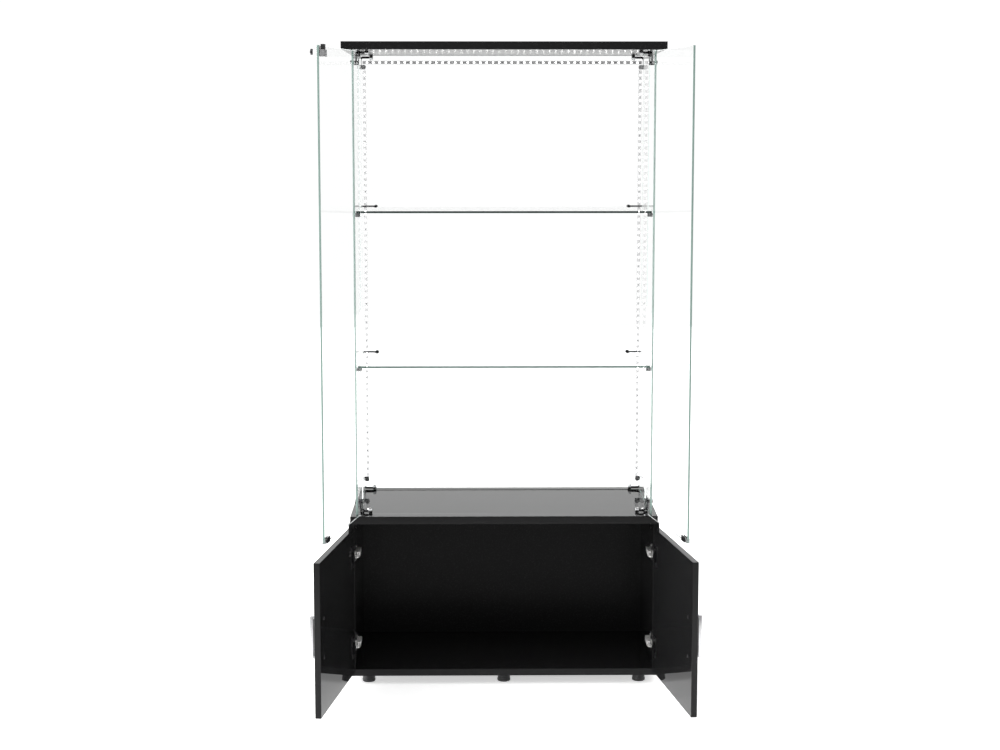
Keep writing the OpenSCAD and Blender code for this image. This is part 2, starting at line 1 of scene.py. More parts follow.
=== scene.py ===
"""China cabinet with glass doors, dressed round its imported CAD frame: lacquered boards, clear glass with
green edges, plated fittings and light strips. Metres, +X the cabinet's right, +Y its back, +Z up."""

import json
import math

import bmesh
import bpy
import numpy as np
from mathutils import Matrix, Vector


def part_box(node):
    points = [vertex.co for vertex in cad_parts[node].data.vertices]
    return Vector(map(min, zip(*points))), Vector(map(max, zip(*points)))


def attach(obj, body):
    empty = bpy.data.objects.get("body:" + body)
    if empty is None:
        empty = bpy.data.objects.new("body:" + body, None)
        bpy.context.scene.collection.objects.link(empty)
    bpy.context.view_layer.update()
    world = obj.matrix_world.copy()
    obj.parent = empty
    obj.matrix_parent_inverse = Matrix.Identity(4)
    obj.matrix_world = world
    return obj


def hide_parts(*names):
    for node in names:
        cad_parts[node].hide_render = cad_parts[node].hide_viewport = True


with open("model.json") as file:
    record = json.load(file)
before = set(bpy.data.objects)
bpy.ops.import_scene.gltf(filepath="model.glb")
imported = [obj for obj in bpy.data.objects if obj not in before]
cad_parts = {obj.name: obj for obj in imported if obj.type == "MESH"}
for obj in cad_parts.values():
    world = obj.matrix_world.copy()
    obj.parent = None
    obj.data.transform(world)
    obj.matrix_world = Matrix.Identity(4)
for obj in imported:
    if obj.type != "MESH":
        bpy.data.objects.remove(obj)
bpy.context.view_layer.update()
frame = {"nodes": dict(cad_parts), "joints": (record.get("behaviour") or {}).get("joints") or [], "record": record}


# ---- Camera ----
# Stands in front of the cabinet, a little to its left, and looks down from just below its top.
camera_data = bpy.data.cameras.new("Front camera")
camera_data.sensor_width = 36.0
camera_data.lens = 68.1
camera = bpy.data.objects.new("Front camera", camera_data)
camera.location = (-0.0674, -4.7317, 1.4144)
camera.rotation_euler = (math.radians(82.67), 0.0, math.radians(-0.69))
bpy.context.scene.collection.objects.link(camera)
bpy.context.scene.camera = camera


# ---- Studio light and floor ----
# White walls all round with a grey card straight in front of the cabinet, strong light from its left and
# overhead, and less from its right. The floor is white board, faintly lit from below, and fades to grey
# further out in front.
WALL_WHITE = 1.04
CARD_DARK = 0.40
LEFT_GAIN = 3.2
RIGHT_LOSS = 0.40
OVERHEAD_GAIN = 1.6

bpy.context.scene.view_settings.view_transform = "Standard"


def ramp(tree, source, start, end, low, high):
    """Smooth step: low where source is at start or below, high where it is at end or above."""
    node = tree.nodes.new("ShaderNodeMapRange")
    node.interpolation_type = "SMOOTHSTEP"
    for socket, value in (("From Min", start), ("From Max", end), ("To Min", low), ("To Max", high)):
        node.inputs[socket].default_value = value
    tree.links.new(source, node.inputs["Value"])
    return node.outputs["Result"]


def combined(tree, operation, first, second):
    """Math node of two sockets."""
    node = tree.nodes.new("ShaderNodeMath")
    node.operation = operation
    tree.links.new(first, node.inputs[0])
    tree.links.new(second, node.inputs[1])
    return node.outputs["Value"]


world = bpy.data.worlds.new("Soft white studio")
world.use_nodes = True
bpy.context.scene.world = world
sky = world.node_tree
direction = sky.nodes.new("ShaderNodeTexCoord")
parts = sky.nodes.new("ShaderNodeSeparateXYZ")
sky.links.new(direction.outputs["Generated"], parts.inputs["Vector"])
front_back = ramp(sky, parts.outputs["Y"], -0.93, -0.74, CARD_DARK, WALL_WHITE)
left_right = combined(sky, "MULTIPLY", ramp(sky, parts.outputs["X"], -0.90, -0.30, LEFT_GAIN, 1.0),
                      ramp(sky, parts.outputs["X"], 0.30, 0.90, 1.0, RIGHT_LOSS))
overhead = ramp(sky, parts.outputs["Z"], 0.35, 0.95, 1.0, OVERHEAD_GAIN)
brightness = combined(sky, "MULTIPLY", combined(sky, "MULTIPLY", front_back, left_right), overhead)
sky.links.new(brightness, sky.nodes["Background"].inputs["Strength"])
sky.nodes["Background"].inputs["Color"].default_value = (1.0, 1.0, 1.0, 1.0)


def finish(name, colour, rough, metal=0.0, spread=0.3, tone=0.1, scale=60.0, grain=(1, 1, 1), bump=0.0,
           smudge=0.0, **sockets):
    """Principled finish. Fine noise on Object coordinates, stretched by grain, moves the roughness by spread
    and the colour by tone of their own values and lifts the surface by bump metres; smudge adds that much
    roughness in patches eight times as wide. Other sockets are set by name, with _ for a space."""
    material = bpy.data.materials.new(name)
    material.use_nodes = True
    tree = material.node_tree
    shader = tree.nodes["Principled BSDF"]
    place = tree.nodes.new("ShaderNodeTexCoord")
    turn = tree.nodes.new("ShaderNodeMapping")
    turn.inputs["Scale"].default_value = grain
    tree.links.new(place.outputs["Object"], turn.inputs["Vector"])
    fine = tree.nodes.new("ShaderNodeTexNoise")
    fine.inputs["Scale"].default_value = scale
    fine.inputs["Detail"].default_value = 3.0
    tree.links.new(turn.outputs["Vector"], fine.inputs["Vector"])
    roughness = ramp(tree, fine.outputs["Fac"], 0.3, 0.7, rough * (1 - spread), rough * (1 + spread))
    if smudge:
        patches = tree.nodes.new("ShaderNodeTexNoise")
        patches.inputs["Scale"].default_value = scale / 8
        tree.links.new(place.outputs["Object"], patches.inputs["Vector"])
        roughness = combined(tree, "ADD", roughness, ramp(tree, patches.outputs["Fac"], 0.45, 0.75, 0, smudge))
    tree.links.new(roughness, shader.inputs["Roughness"])
    blend = tree.nodes.new("ShaderNodeMix")
    blend.data_type = "RGBA"
    blend.inputs["A"].default_value = [c * (1 - tone) for c in colour] + [1.0]
    blend.inputs["B"].default_value = [min(c * (1 + tone), 1.0) for c in colour] + [1.0]
    tree.links.new(fine.outputs["Fac"], blend.inputs["Factor"])
    tree.links.new(blend.outputs["Result"], shader.inputs["Base Color"])
    if bump:
        lift = tree.nodes.new("ShaderNodeBump")
        lift.inputs["Distance"].default_value = bump
        tree.links.new(fine.outputs["Fac"], lift.inputs["Height"])
        tree.links.new(lift.outputs["Normal"], shader.inputs["Normal"])
    shader.inputs["Metallic"].default_value = metal
    for socket, value in sockets.items():
        shader.inputs[socket.replace("_", " ")].default_value = value
    return material


white_board = finish("White floor board", (0.93, 0.93, 0.93), 0.85, tone=0.01, scale=12, Specular_IOR_Level=0.1,
                     Emission_Color=(1.0, 1.0, 1.0, 1.0))
floor_tree = white_board.node_tree
split = floor_tree.nodes.new("ShaderNodeSeparateXYZ")
floor_tree.links.new(floor_tree.nodes["Texture Coordinate"].outputs["Object"], split.inputs["Vector"])
FADE_FROM, FADE_TO = -1.0, -2.8
FLOOR_GLOW = 0.55
shade = floor_tree.nodes.new("ShaderNodeMix")
shade.data_type = "RGBA"
shade.inputs["A"].default_value = (0.20, 0.20, 0.20, 1.0)
floor_tree.links.new(floor_tree.nodes["Mix"].outputs["Result"], shade.inputs["B"])
floor_tree.links.new(ramp(floor_tree, split.outputs["Y"], FADE_TO, FADE_FROM, 0.0, 1.0), shade.inputs["Factor"])
shader = floor_tree.nodes["Principled BSDF"]
floor_tree.links.new(shade.outputs["Result"], shader.inputs["Base Color"])
glow = ramp(floor_tree, split.outputs["Y"], FADE_TO, FADE_FROM, 0.0, FLOOR_GLOW)
floor_tree.links.new(glow, shader.inputs["Emission Strength"])
FLOOR_REACH = 9.0
floor_mesh = bpy.data.meshes.new("Floor")
floor_mesh.from_pydata(
    [(x * FLOOR_REACH, y * FLOOR_REACH, -0.0004) for x, y in ((-1, -1), (1, -1), (1, 1), (-1, 1))],
    [], [(0, 1, 2, 3)])
floor_mesh.materials.append(white_board)
floor = bpy.data.objects.new("Floor", floor_mesh)
bpy.context.scene.collection.objects.link(floor)


# ---- Cupboard and top panel boards ----
# Chipboard faced with black high-gloss laminate, its edges banded to match and eased with a fine radius. The
# top panel has a satin foil underneath. Dowels and cam bolts hold the boards together.
gloss_black = finish("Black gloss laminate", (0.0115, 0.0115, 0.0118), 0.035, spread=0.12, scale=90, smudge=0.006,
                     IOR=1.235)
BAND_RADIUS = 0.0009


def body_of(node):
    """Name of the CAD body that a node belongs to."""
    return next(body for body, nodes in frame["record"]["behaviour"]["bodies"].items() if node in nodes)


def eased(node, material, radius, shortest=0.02):
    """Stands for a CAD node with a merged copy of its mesh, in which a three-step bevel of this radius rounds
    each edge that is longer than shortest and folds by more than 40 degrees."""
    mesh = frame["nodes"][node].data.copy()
    mesh.name = node + "_eased"
    work = bmesh.new()
    work.from_mesh(mesh)
    bmesh.ops.remove_doubles(work, verts=work.verts, dist=1e-5)
    bmesh.ops.dissolve_limit(work, angle_limit=0.01, verts=work.verts, edges=work.edges)
    sharp = [e for e in work.edges if e.calc_length() > shortest and e.calc_face_angle(0.0) > 0.7]
    bmesh.ops.bevel(work, geom=sharp, offset=radius, segments=3, profile=0.5, affect="EDGES", clamp_overlap=True)
    work.to_mesh(mesh)
    work.free()
    mesh.shade_smooth()
    mesh.set_sharp_from_angle(angle=math.radians(40))
    mesh.materials.clear()
    mesh.materials.append(material)
    piece = bpy.data.objects.new(node + "_eased", mesh)
    bpy.context.scene.collection.objects.link(piece)
    even = piece.modifiers.new("Even normals", "WEIGHTED_NORMAL")
    even.keep_sharp = True
    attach(piece, body_of(node))
    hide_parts(node)
    return piece


def refaced(piece, old, new, chosen):
    """Faces of the old finish that chosen picks from their (n, 3) normals and centres take the new finish."""
    mesh = piece.data
    facing, centres = np.empty(len(mesh.polygons) * 3), np.empty(len(mesh.polygons) * 3)
    mesh.polygons.foreach_get("normal", facing)
    mesh.polygons.foreach_get("center", centres)
    use = np.empty(len(mesh.polygons), int)
    mesh.polygons.foreach_get("material_index", use)
    picked = chosen(facing.reshape(-1, 3), centres.reshape(-1, 3)) & (use == list(mesh.materials).index(old))
    mesh.materials.append(new)
    use[picked] = len(mesh.materials) - 1
    mesh.polygons.foreach_set("material_index", use)


for board in ("cabinet_top", "side_panel_left", "side_panel_right", "bottom_panel"):
    eased(board, gloss_black, BAND_RADIUS)
satin_under = finish("Satin balancing foil", (0.016, 0.016, 0.016), 0.17, spread=0.1, scale=300,
                     Specular_IOR_Level=0.11)
refaced(eased("top_panel", gloss_black, BAND_RADIUS), gloss_black, satin_under,
        lambda facing, centres: facing[:, 2] < -0.99)


# ---- Back panel ----
# Thin hardboard with a black foil on its inner face, slid into grooves in the sides and the bottom.
def coat(node, material):
    """Gives a CAD node one finish in every slot."""
    piece = frame["nodes"][node]
    if not piece.material_slots:
        piece.data.materials.append(material)
    for slot in piece.material_slots:
        slot.material = material


coat("back_panel", finish("Black foil", (0.010, 0.010, 0.0103), 0.25, scale=260, spread=0.15, IOR=1.45,
                          Specular_IOR_Level=0.07))


# ---- Cupboard doors ----
# Boards of the same black gloss laminate, drilled for the hinge cups and the handles.
for door in ("cupboard_door_left", "cupboard_door_right"):
    eased(door, gloss_black, BAND_RADIUS)


# ---- Feet ----
# Turned black plastic glides with a softer pad underneath and a ring groove, pressed into the bottom panel.
foot_black = finish("Moulded black plastic", (0.013, 0.013, 0.014), 0.38, scale=700, bump=1.2e-5)
pad_grey = finish("Glide pad", (0.035, 0.035, 0.036), 0.8, scale=900, bump=3e-5)
joints = {joint["name"]: joint for joint in frame["joints"]}


def swung(points, joint_name, degrees):
    """Points (..., 3) turned about a hinge's axis by the right-hand rule (Rodrigues' formula)."""
    joint = joints[joint_name]
    axis = np.array(joint["axis"], float)
    axis /= np.linalg.norm(axis)
    turn = math.radians(degrees)
    arm = points - np.array(joint["pos_m"])
    along = (arm @ axis)[..., None] * axis
    return (points - arm) + arm * math.cos(turn) + np.cross(axis, arm) * math.sin(turn) + along * (
        1 - math.cos(turn))


def solids(node, hinge=None):
    """(k, 2, 3) lowest and highest corners of each separate solid of a CAD node, with its door closed where a
    hinge is named. Corners that coincide are one point, and each point takes the lowest label among the
    triangles that it belongs to, until no label changes."""
    mesh = frame["nodes"][node].data
    points = np.empty(len(mesh.vertices) * 3)
    mesh.vertices.foreach_get("co", points)
    points = points.reshape(-1, 3)
    if hinge:
        points = swung(points, hinge, joints[hinge]["range_deg"][1])
    corners = np.empty(len(mesh.loops), int)
    mesh.loops.foreach_get("vertex_index", corners)
    places, same = np.unique(np.round(points, 6), axis=0, return_inverse=True)
    triangles = same.reshape(-1)[corners].reshape(-1, 3)
    label = np.arange(len(places))
    while True:
        lower = label.copy()
        np.minimum.at(lower, triangles, label[triangles].min(axis=1)[:, None])
        lower = lower[lower]
        if (lower == label).all():
            break
        label = lower
    return np.array([[places[label == k].min(0), places[label == k].max(0)] for k in np.unique(label)])


def ring(radius_x, radius_y, corner, steps=5):
    """(4 * steps, 2) rounded rectangle with these half sizes: a quarter circle of the corner radius at each
    corner, and straight sides between them."""
    turn = np.linspace(0, math.pi / 2, steps)
    quarters = turn[None, :] + np.arange(4)[:, None] * math.pi / 2
    signs = np.array([(1, 1), (-1, 1), (-1, -1), (1, -1)])[:, None, :]
    centres = signs * np.array([radius_x - corner, radius_y - corner])
    return (centres + corner * np.stack([np.cos(quarters), np.sin(quarters)], -1)).reshape(-1, 2)


def slab(low, high, rim, corner, axis=None, steps=1):
    """Rings (m, n, 3) of a block between two corners, laid across its thinnest way or the named axis. The outline
    is inset by rim * (1 - sin t) at a depth of rim * (1 - cos t) from each face, for t from 0 to 90 degrees."""
    low, high = np.array(low, float), np.array(high, float)
    size = high - low
    axis = int(size.argmin()) if axis is None else axis
    across = [k for k in range(3) if k != axis]
    t = np.linspace(0, math.pi / 2, steps + 1)
    inset = rim * (1 - np.sin(t))
    depth = rim * (1 - np.cos(t))
    insets = np.concatenate([inset, inset[::-1]])
    depths = np.concatenate([low[axis] + depth, high[axis] - depth[::-1]])
    half = size[across] / 2
    rings = np.zeros((len(insets), 20, 3))
    outline = np.stack([ring(half[0] - d, half[1] - d, max(corner - d, 1e-5)) for d in insets])
    rings[:, :, across] = outline + (low[across] + half)
    rings[:, :, axis] = depths[:, None]
    return rings


def turned(profile, base, axis, around=36):
    """Rings (m, around, 3) of a lathe shape: each (radius, height) of the profile becomes a circle about the
    axis that leaves base."""
    profile = np.array(profile, float)
    axis = np.array(axis, float) / np.linalg.norm(axis)
    side = np.cross(axis, [0.0, 0.0, 1.0] if abs(axis[2]) < 0.9 else [1.0, 0.0, 0.0])
    side /= np.linalg.norm(side)
    turn = np.linspace(0, 2 * math.pi, around, endpoint=False)
    spokes = np.cos(turn)[:, None] * side + np.sin(turn)[:, None] * np.cross(axis, side)
    return np.array(base) + profile[:, 1, None, None] * axis + profile[:, 0, None, None] * spokes


def made(name, shells, body, nodes=(), hinge=None, crease=35):
    """One object from closed shells, each (rings, side finish, end finish): quads between neighbouring rings,
    wrapped round, and one flat face at each end. With a hinge, the rings are in the closed door's place and are
    swung open to rest. Faces are turned outwards, and edges that fold by more than crease degrees are sharp."""
    finishes = []
    points, faces, uses = [], [], []
    start = 0
    for rings, side_finish, end_finish in shells:
        if hinge:
            rings = swung(rings, hinge, -joints[hinge]["range_deg"][1])
        many, around = rings.shape[:2]
        for material in (side_finish, end_finish):
            if material not in finishes:
                finishes.append(material)
        grid = start + np.arange(many * around).reshape(many, around)
        beside = np.roll(grid, -1, axis=1)
        quads = np.stack([grid[:-1], beside[:-1], beside[1:], grid[1:]], -1).reshape(-1, 4)
        faces += quads.tolist() + [grid[0, ::-1].tolist(), grid[-1].tolist()]
        uses += [finishes.index(side_finish)] * len(quads) + [finishes.index(end_finish)] * 2
        points.append(rings.reshape(-1, 3))
        start += many * around
    mesh = bpy.data.meshes.new(name)
    mesh.from_pydata(np.concatenate(points).tolist(), [], faces)
    mesh.polygons.foreach_set("material_index", uses)
    for material in finishes:
        mesh.materials.append(material)
    work = bmesh.new()
    work.from_mesh(mesh)
    bmesh.ops.recalc_face_normals(work, faces=work.faces)
    work.to_mesh(mesh)
    work.free()
    mesh.shade_smooth()
    mesh.set_sharp_from_angle(angle=math.radians(crease))
    piece = bpy.data.objects.new(name, mesh)
    bpy.context.scene.collection.objects.link(piece)
    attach(piece, body)
    if nodes:
        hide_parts(*nodes)
    return piece


bottom_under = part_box("bottom_panel")[0].z
for row in ("feet_front", "feet_back"):
    shells = []
    for low, high in solids(row):
        r = (high[0] - low[0]) / 2
        h = bottom_under - low[2]
        base = ((low[0] + high[0]) / 2, (low[1] + high[1]) / 2, low[2])
        shells.append((turned([(r - 0.004, 0), (r - 0.0022, 0.0003), (r - 0.0018, 0.0012), (r - 0.0018, 0.003)],
                              base, (0, 0, 1), 48), pad_grey, pad_grey))
        shells.append((turned([
            (r - 0.0014, 0.0012), (r - 0.0004, 0.0015), (r, 0.0024), (r, 0.0068), (r - 0.0003, 0.0076),
            (r - 0.0014, 0.0080), (r - 0.0014, 0.0090), (r - 0.0006, 0.0095), (r - 0.0008, 0.0105),
            (r - 0.0024, h - 0.0012), (r - 0.0030, h - 0.0002), (0.003, h - 0.0002), (0.003, high[2] - low[2])],
            base, (0, 0, 1), 48), foot_black, foot_black))
    made(row + "_turned", shells, "cabinet", [row])


# ---- Glass: two sides, back, two shelves and two doors ----
# Toughened float glass. Its ground and polished edges are green, and their arrises are broken by a narrow chamfer.
# How light each edge looks is painted light and shade: each kind of pane has its own painted edge brightness, and
# the edges are painted darker at the front and lighter at the back. The sides and doors have a coating that cuts
# reflections.
clear_glass = finish("Clear float glass", (0.978, 0.983, 0.980), 0.0, tone=0.004, scale=2.0,
                     Transmission_Weight=1.0, IOR=1.18)


def edge_finish(name, colour):
    """Polished glass edge, tinted by the glass behind it; the light through the pane is painted into its colour.
    """
    return finish(name, colour, 0.12, spread=0.6, tone=0.16, scale=45, grain=(1, 1, 0.5),
                  Specular_IOR_Level=0.15, IOR=1.3)


# Edge colours with painted light and shade, from the darkest upper shelf edge to the far edge painted light.
upright_edge_painted_shade = edge_finish("Upright glass edge", (0.30, 0.41, 0.375))
far_edge_painted_light = finish("Far glass edge", (0.80, 0.90, 0.87), 0.08, spread=0.5, tone=0.06, scale=45, grain=(1, 1, 0.5),
                  Transmission_Weight=0.95, IOR=1.18)
door_edge_painted_shade = edge_finish("Door glass edge", (0.24, 0.33, 0.30))
upper_shelf_edge_painted_shade = edge_finish("Upper shelf edge", (0.030, 0.045, 0.041))
lower_shelf_edge_painted_shade = edge_finish("Lower shelf edge", (0.13, 0.19, 0.17))
ARRIS = 0.0005
door_glass = finish("Anti-glare glass", (0.972, 0.978, 0.975), 0.0, tone=0.004, scale=2.0,
                    Transmission_Weight=1.0, IOR=1.06)
for pane, edge, face in (
        ("glass_side_left", upright_edge_painted_shade, door_glass), ("glass_side_right", upright_edge_painted_shade, door_glass),
        ("glass_back", upper_shelf_edge_painted_shade, clear_glass), ("shelf_upper", upper_shelf_edge_painted_shade, clear_glass),
        ("shelf_lower", lower_shelf_edge_painted_shade, clear_glass)):
    low, high = (np.array(corner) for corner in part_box(pane))
    piece = made(pane + "_pane", [(slab(low + 2e-5, high - 2e-5, ARRIS, 0.0012), edge, face)], "cabinet", [pane],
                 crease=20)
    # Painted light on edges facing back, up or sideways; edges facing the front or down keep their painted shade.
    refaced(piece, edge, far_edge_painted_light, lambda facing, centres: (facing[:, 1] > -0.5) & (facing[:, 2] > -0.5))
for side in ("left", "right"):
    hinge = f"glass_door_{side}_swing"
    low, high = solids("glass_door_" + side, hinge)[0]
    piece = made(f"glass_door_{side}_pane", [(slab(low, high, ARRIS, 0.0015), door_edge_painted_shade, door_glass)],
                 "glass_door_" + side, ["glass_door_" + side], hinge=hinge, crease=20)
    # Painted light on edges facing back; edges facing the front keep their painted shade.
    refaced(piece, door_edge_painted_shade, far_edge_painted_light, lambda facing, centres: facing[:, 1] > -0.5)


# ---- Corner connectors ----
# Bent chrome-plated steel rods with a turned barrel at each end: a bright one screwed to the board, and one
# clamped to the glass by a stud. The rods and the clamp barrel's sides are painted dark, a painted dark
# reflection, and a dark edge tint paints shade on the rims of all the chrome.
# Chrome with a dark edge tint, painted shade on its rims, and chrome painted dark, a painted dark reflection.
chrome = finish("Chrome plate", (0.62, 0.625, 0.635), 0.10, metal=1.0, spread=0.4, tone=0.05, scale=180,
                Specular_Tint=(0.12, 0.12, 0.12, 1.0))
chrome_painted_dark = finish("Chrome plate painted dark", (0.060, 0.060, 0.063), 0.14, metal=1.0, spread=0.4, tone=0.08,
                     scale=220, Specular_Tint=(0.35, 0.35, 0.35, 1.0))


def swept(path, radius, around=20):
    """Rings of a round bar along a path (m, 3) that lies in a plane of constant y: the circle is spanned by the
    y axis and by the path's normal in that plane. The ends draw in to half the radius."""
    path = np.array(path, float)
    along = np.gradient(path, axis=0)
    along /= np.linalg.norm(along, axis=1)[:, None]
    across = np.array([0.0, 1.0, 0.0])
    normal = np.cross(along, across)
    turn = np.linspace(0, 2 * math.pi, around, endpoint=False)
    radii = np.full(len(path), radius)
    radii[[0, -1]] = radius / 2
    spokes = np.cos(turn)[None, :, None] * normal[:, None, :] + np.sin(turn)[None, :, None] * across
    return path[:, None, :] + radii[:, None, None] * spokes


def barrel(low_x, high_x, y, z, radius):
    """Lathe barrel along x with chamfered rims and two fine grooves near its ends."""
    long = high_x - low_x
    c = 0.0007
    g = 0.0004
    profile = [(radius - 2 * c, 0), (radius - c / 2, c / 3), (radius, c)]
    for at in (0.3, 0.7):
        profile += [(radius, long * at - g), (radius - g, long * at - g / 2), (radius - g, long * at + g / 2),
                    (radius, long * at + g)]
    profile += [(radius, long - c), (radius - c / 2, long - c / 3), (radius - 2 * c, long)]
    return turned(profile, (low_x, y, z), (1, 0, 0), 40)


ROD_RADIUS = 0.003
BEND = 0.007
foot_end, foot_radius, clamp_radius = 0.009, 0.006, 0.0055
for node in ("connectors_top_front", "connectors_top_back", "connectors_bottom_front", "connectors_bottom_back"):
    shells = []
    up = 1 if "bottom" in node else -1
    for low, high in solids(node):
        s = 1 if low[0] > 0 else -1
        inner, outer = (low[0], high[0]) if s > 0 else (high[0], low[0])
        y = (low[1] + high[1]) / 2
        board_z = low[2] if up > 0 else high[2]
        clamp_z = (high[2] if up > 0 else low[2]) - up * clamp_radius
        level = board_z + up * 0.0055
        rod_x = outer - s * (0.004 if "front" in node else ROD_RADIUS)
        clamp_x = (outer - s * 0.012, outer) if "front" in node else (rod_x - s * 0.013, outer)
        turn = np.linspace(0, math.pi / 2, 9)
        bend = np.stack([rod_x - s * BEND * (1 - np.sin(turn)), np.full(9, y),
                         level + up * BEND * (1 - np.cos(turn))], -1)
        path = np.concatenate([[(inner + s * 0.002, y, level), (inner + s * 0.003, y, level)], bend,
                               [(rod_x, y, clamp_z - up * 0.001), (rod_x, y, clamp_z)]])
        # Painted dark reflection on the rod and the clamp barrel's side; the board barrel and clamp ends are
        # chrome.
        shells.append((swept(path, ROD_RADIUS), chrome_painted_dark, chrome_painted_dark))
        feet_x = sorted((inner, inner + s * foot_end))
        shells.append((barrel(*feet_x, y, board_z + up * 0.0060, foot_radius - 1e-5), chrome, chrome))
        shells.append((barrel(*sorted(clamp_x), y, clamp_z, clamp_radius), chrome_painted_dark, chrome))
    made(node + "_turned", shells, "cabinet", [node])

coat("connector_pads", chrome)


# ---- Screws ----
# Pan-head screws with a cross recess, each on a plain shank. Those in the cupboard doors are black zinc, and
# the others are bright zinc.
zinc = finish("Zinc plate", (0.50, 0.50, 0.49), 0.24, metal=1.0, spread=0.35, tone=0.12, scale=400, bump=4e-6)
black_zinc = finish("Black zinc", (0.020, 0.020, 0.021), 0.30, metal=0.6, scale=400, tone=0.12, bump=4e-6)


def screw(low, high, axis, head_high, shank, head, thick):
    """Rings of a screw in its box: the shank, then a domed head whose height drops inside a cross of two bars.
    The drop is 1 where the smaller of |x| and |y| on the head is under a bar's half width and the larger one is
    under its half length, and fades over a fifth of those."""
    middle = (low + high) / 2
    way = np.zeros(3)
    way[axis] = 1.0 if head_high else -1.0
    long = high[axis] - low[axis]
    tip = middle - way * long / 2
    body = turned([(shank * 0.35, 0), (shank, 0.0012), (shank, long - thick), (head * 0.97, long - thick),
                   (head, long - thick * 0.75), (head * 0.93, long - thick * 0.35)], tip, way, 32)
    radii = np.linspace(0.86, 0.04, 9) * head
    turn = np.linspace(0, 2 * math.pi, 32, endpoint=False)
    x, y = radii[:, None] * np.cos(turn), radii[:, None] * np.sin(turn)
    narrow, wide = np.minimum(abs(x), abs(y)), np.maximum(abs(x), abs(y))
    drop = np.clip((0.17 * head - narrow) / (0.06 * head) + 0.5, 0, 1) * np.clip(
        (0.55 * head - wide) / (0.12 * head) + 0.5, 0, 1)
    dome = long - thick * 0.30 * (radii / head)[:, None] ** 2
    top = turned(np.stack([radii, np.zeros(9)], -1), tip, way, 32) + (dome - thick * 0.6 * drop)[..., None] * way
    return np.concatenate([body, top])


mid_height = (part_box("top_panel")[1].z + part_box("cabinet_top")[1].z) / 2
screw_rows = [("connector_screws", None, 2, lambda b: b[:, 2].mean() < mid_height, 0.0032, 0.0015),
              ("hinge_arm_screws", None, 0, lambda b: b[0, 0] < 0, 0.0032, 0.0014)]
for side in ("left", "right"):
    screw_rows += [
        ("cup_screws_" + side, f"cupboard_door_{side}_swing", 1, lambda b: True, 0.0032, 0.0012),
        ("handle_screws_" + side, f"cupboard_door_{side}_swing", 1, lambda b: True, 0.0040, 0.0020),
        ("shoe_screws_" + side, f"glass_door_{side}_swing", 1, lambda b: False, 0.0030, 0.0015)]
for node, hinge, axis, head_high, head, thick in screw_rows:
    plating = black_zinc if "cup" in node or "handle" in node else zinc
    shells = [(screw(b[0], b[1], axis, head_high(b), 0.00165, head, thick), plating, plating)
              for b in solids(node, hinge)]
    made(node + "_cut", shells, body_of(node), [node], hinge=hinge)


# ---- Shelf supports ----
# Flat-sided rods with slotted knobs at the back, and short blocks under the shelf at the front, all in chrome
# painted dark, a painted dark reflection.
for node in ("shelf_rods_upper", "shelf_rods_lower", "shelf_clips"):
    eased(node, chrome_painted_dark, 0.0004, shortest=0.004)


# ---- Glass door pivots ----
# Steel shoes screwed over the corners of each door, on pins that turn in plain bushes in the two boards.
for node in ("pivot_bushes_top", "pivot_bushes_bottom"):
    coat(node, chrome)
# The shoes are chrome painted dark, a painted dark reflection.
for node in ("pivot_shoes_left", "pivot_shoes_right"):
    eased(node, chrome_painted_dark, 0.0004, shortest=0.004)


# ---- Light strips ----
# Flexible white tape with a square light chip every sixtieth of a metre and, between them, a small resistor or a
# pair of solder pads. It is stuck to the inner face of the back glass. The tape itself has a painted glow, and
# the upright runs are painted lighter, with a stronger painted glow, than the top run.
# Painted glow on the tape, which is no lamp; the upright tape is painted lighter and glows more.
tape_painted_glow = finish("Light tape", (0.46, 0.46, 0.47), 0.42, scale=600, tone=0.08, bump=8e-6,
                    Emission_Color=(1.0, 1.0, 1.0, 1.0), Emission_Strength=0.10)
upright_tape_painted_light = finish("Upright light tape", (0.60, 0.60, 0.61), 0.42, scale=600, tone=0.08, bump=8e-6,
                      Emission_Color=(1.0, 1.0, 1.0, 1.0), Emission_Strength=0.34)
chip_case = finish("Light chip case", (0.80, 0.80, 0.78), 0.35, scale=900, tone=0.05)
chip_glow = finish("Light chip window", (0.95, 0.93, 0.80), 0.25, scale=900, tone=0.05,
                   Emission_Color=(1.0, 1.0, 1.0, 1.0), Emission_Strength=9.0)
resistor_black = finish("Resistor", (0.02, 0.02, 0.022), 0.3, scale=900)
solder = finish("Solder pad", (0.62, 0.60, 0.56), 0.3, metal=1.0, scale=700, bump=1e-5)
LIGHT_PITCH = 1 / 60
CHIP_HALF = 0.0027
TAPE_THICK = 0.0004
